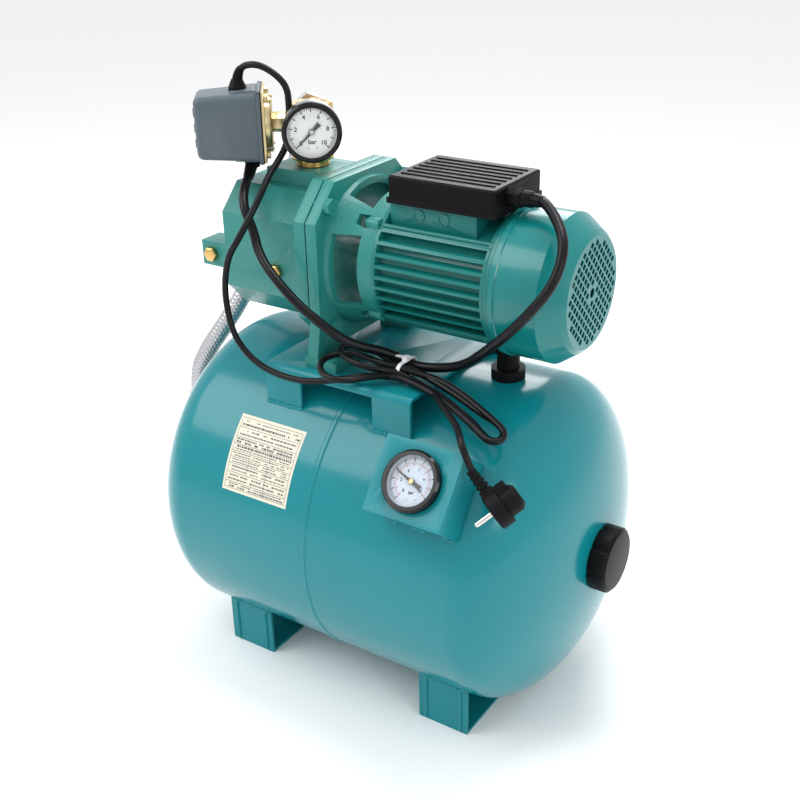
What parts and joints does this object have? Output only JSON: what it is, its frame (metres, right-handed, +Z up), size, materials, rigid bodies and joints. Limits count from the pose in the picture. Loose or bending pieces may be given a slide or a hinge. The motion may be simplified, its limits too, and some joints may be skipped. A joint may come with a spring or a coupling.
{
  "type": "water pump booster set",
  "caption": "Self-priming jet pump with motor, pressure switch and gauge, mounted on a horizontal steel membrane tank with a braided hose.",
  "frame": {"origin": "on the floor, in the middle of the four foot holes and under the tank's seam", "axes": "+X along the tank and the motor shaft towards the fan, -Y towards the gauge side, +Z up"},
  "size_m": [0.606, 0.3882, 0.6976],
  "materials": {
    "teal_paint": "gloss",
    "butyl_rubber": "matte",
    "zinc_flange": "satin",
    "zinc_bolts": "satin",
    "brass_elbow": "satin",
    "brass_valve": "satin",
    "black_cap": "matte",
    "teal_feet": "gloss",
    "teal_bracket": "gloss",
    "teal_housing": "gloss",
    "label_paper": "satin",
    "black_case": "gloss",
    "dial_face": "matte",
    "needle_black": "matte",
    "gauge_glass": "clear",
    "steel_case": "satin",
    "black_bezel": "gloss",
    "dial_white": "matte",
    "cast_casing": "painted teal, rough",
    "brass_plugs": "satin",
    "gasket_fibre": "matte",
    "cast_lantern": "painted teal",
    "steel_bolts": "overpainted",
    "ejector_plastic": "matte",
    "diffuser_plastic": "matte",
    "brass_impeller": "cast",
    "seal_ceramic": "polished",
    "steel_shaft": "ground",
    "rotor_steel": "turned",
    "stator_steel": "laminated",
    "winding_copper": "enamelled",
    "bearing_steel": "ground",
    "teal_aluminium": "painted teal",
    "shield_aluminium": "painted teal",
    "teal_rods": "overpainted",
    "fan_plastic": "matte",
    "teal_cover": "gloss",
    "rubber_foot": "matte",
    "box_black": "satin",
    "black_gland": "matte",
    "block_plastic": "matte",
    "capacitor_plastic": "matte",
    "brass_fitting": "satin",
    "zinc_nipple": "yellow zinc",
    "zinc_base": "yellow zinc",
    "zinc_lever": "zinc",
    "grey_cover": "satin",
    "black_glands": "matte",
    "braided_hose": "braided over rubber",
    "steel_ferrules": "satin",
    "cable_rubber": "satin",
    "cord_rubber": "satin",
    "white_tie": "satin",
    "plug_rubber": "matte",
    "nickel_pins": "plated"
  },
  "bodies": {
    "set": {"tank_shell_left": "teal_paint", "tank_shell_right": "teal_paint", "membrane": "butyl_rubber", "counter_flange": "zinc_flange", "flange_bolts": "zinc_bolts", "tank_elbow": "brass_elbow", "air_valve": "brass_valve", "tank_feet": "teal_feet", "pump_bracket": "teal_bracket", "gauge_housing": "teal_housing", "nameplate": "label_paper", "tank_gauge_case": "black_case", "tank_gauge_dial": "dial_face", "tank_gauge_glass": "gauge_glass", "pump_gauge_case": "steel_case", "pump_gauge_bezel": "black_bezel", "pump_gauge_dial": "dial_white", "pump_gauge_glass": "gauge_glass", "pump_casing": "cast_casing", "casing_plugs": "brass_plugs", "casing_gasket": "gasket_fibre", "motor_lantern": "cast_lantern", "pump_bolts": "steel_bolts", "jet_ejector": "ejector_plastic", "diffuser": "diffuser_plastic", "mechanical_seal": "seal_ceramic", "stator_core": "stator_steel", "stator_windings": "winding_copper", "motor_bearings": "bearing_steel", "motor_frame": "teal_aluminium", "rear_shield": "shield_aluminium", "tie_rods": "teal_rods", "fan_cover": "teal_cover", "motor_foot": "rubber_foot", "terminal_box_cover": "box_black", "box_gland": "black_gland", "terminal_block": "block_plastic", "capacitor": "capacitor_plastic", "five_way_fitting": "brass_fitting", "switch_nipple": "zinc_nipple", "switch_base": "zinc_base", "switch_cover": "grey_cover", "switch_glands": "black_glands", "hose": "braided_hose", "hose_ferrules": "steel_ferrules", "power_cable": "cable_rubber", "plug_cord": "cord_rubber", "plug_cord_tail": "cord_rubber", "cord_hank": "cord_rubber", "cable_tie": "white_tie", "plug_body": "plug_rubber", "plug_pins": "nickel_pins"},
    "rotor": {"motor_shaft": "steel_shaft", "rotor_core": "rotor_steel", "impeller": "brass_impeller", "cooling_fan": "fan_plastic"},
    "pump_needle": {"pump_gauge_needle": "needle_black"},
    "tank_needle": {"tank_gauge_needle": "needle_black"},
    "lever": {"switch_lever": "zinc_lever"},
    "valve_cap": {"air_valve_cap": "black_cap"}
  },
  "joints": [
    {"name": "rotor_spin", "type": "hinge", "parent": "set", "child": "rotor", "pos_m": [0.05, 0, 0.492], "axis": [1, 0, 0], "continuous": true},
    {"name": "pump_gauge_needle_turn", "type": "hinge", "parent": "set", "child": "pump_needle", "pos_m": [-0.06899, -0.04098, 0.624], "axis": [-0.6157, 0.788, 0], "range_deg": [0, 270]},
    {"name": "tank_gauge_needle_turn", "type": "hinge", "parent": "set", "child": "tank_needle", "pos_m": [0.136, -0.17716, 0.33893], "axis": [0, 0.7804, -0.6252], "range_deg": [-78, 192]},
    {"name": "switch_lever_tip", "type": "hinge", "parent": "set", "child": "lever", "pos_m": [-0.14552, -0.03479, 0.606], "axis": [-0.6157, 0.788, 0], "range_deg": [-2, 2], "stiffness_Nm_per_rad": 0.5},
    {"name": "valve_cap_pull", "type": "slide", "parent": "set", "child": "valve_cap", "axis": [1, 0, 0], "range_m": [0, 0.025]}
  ]
}
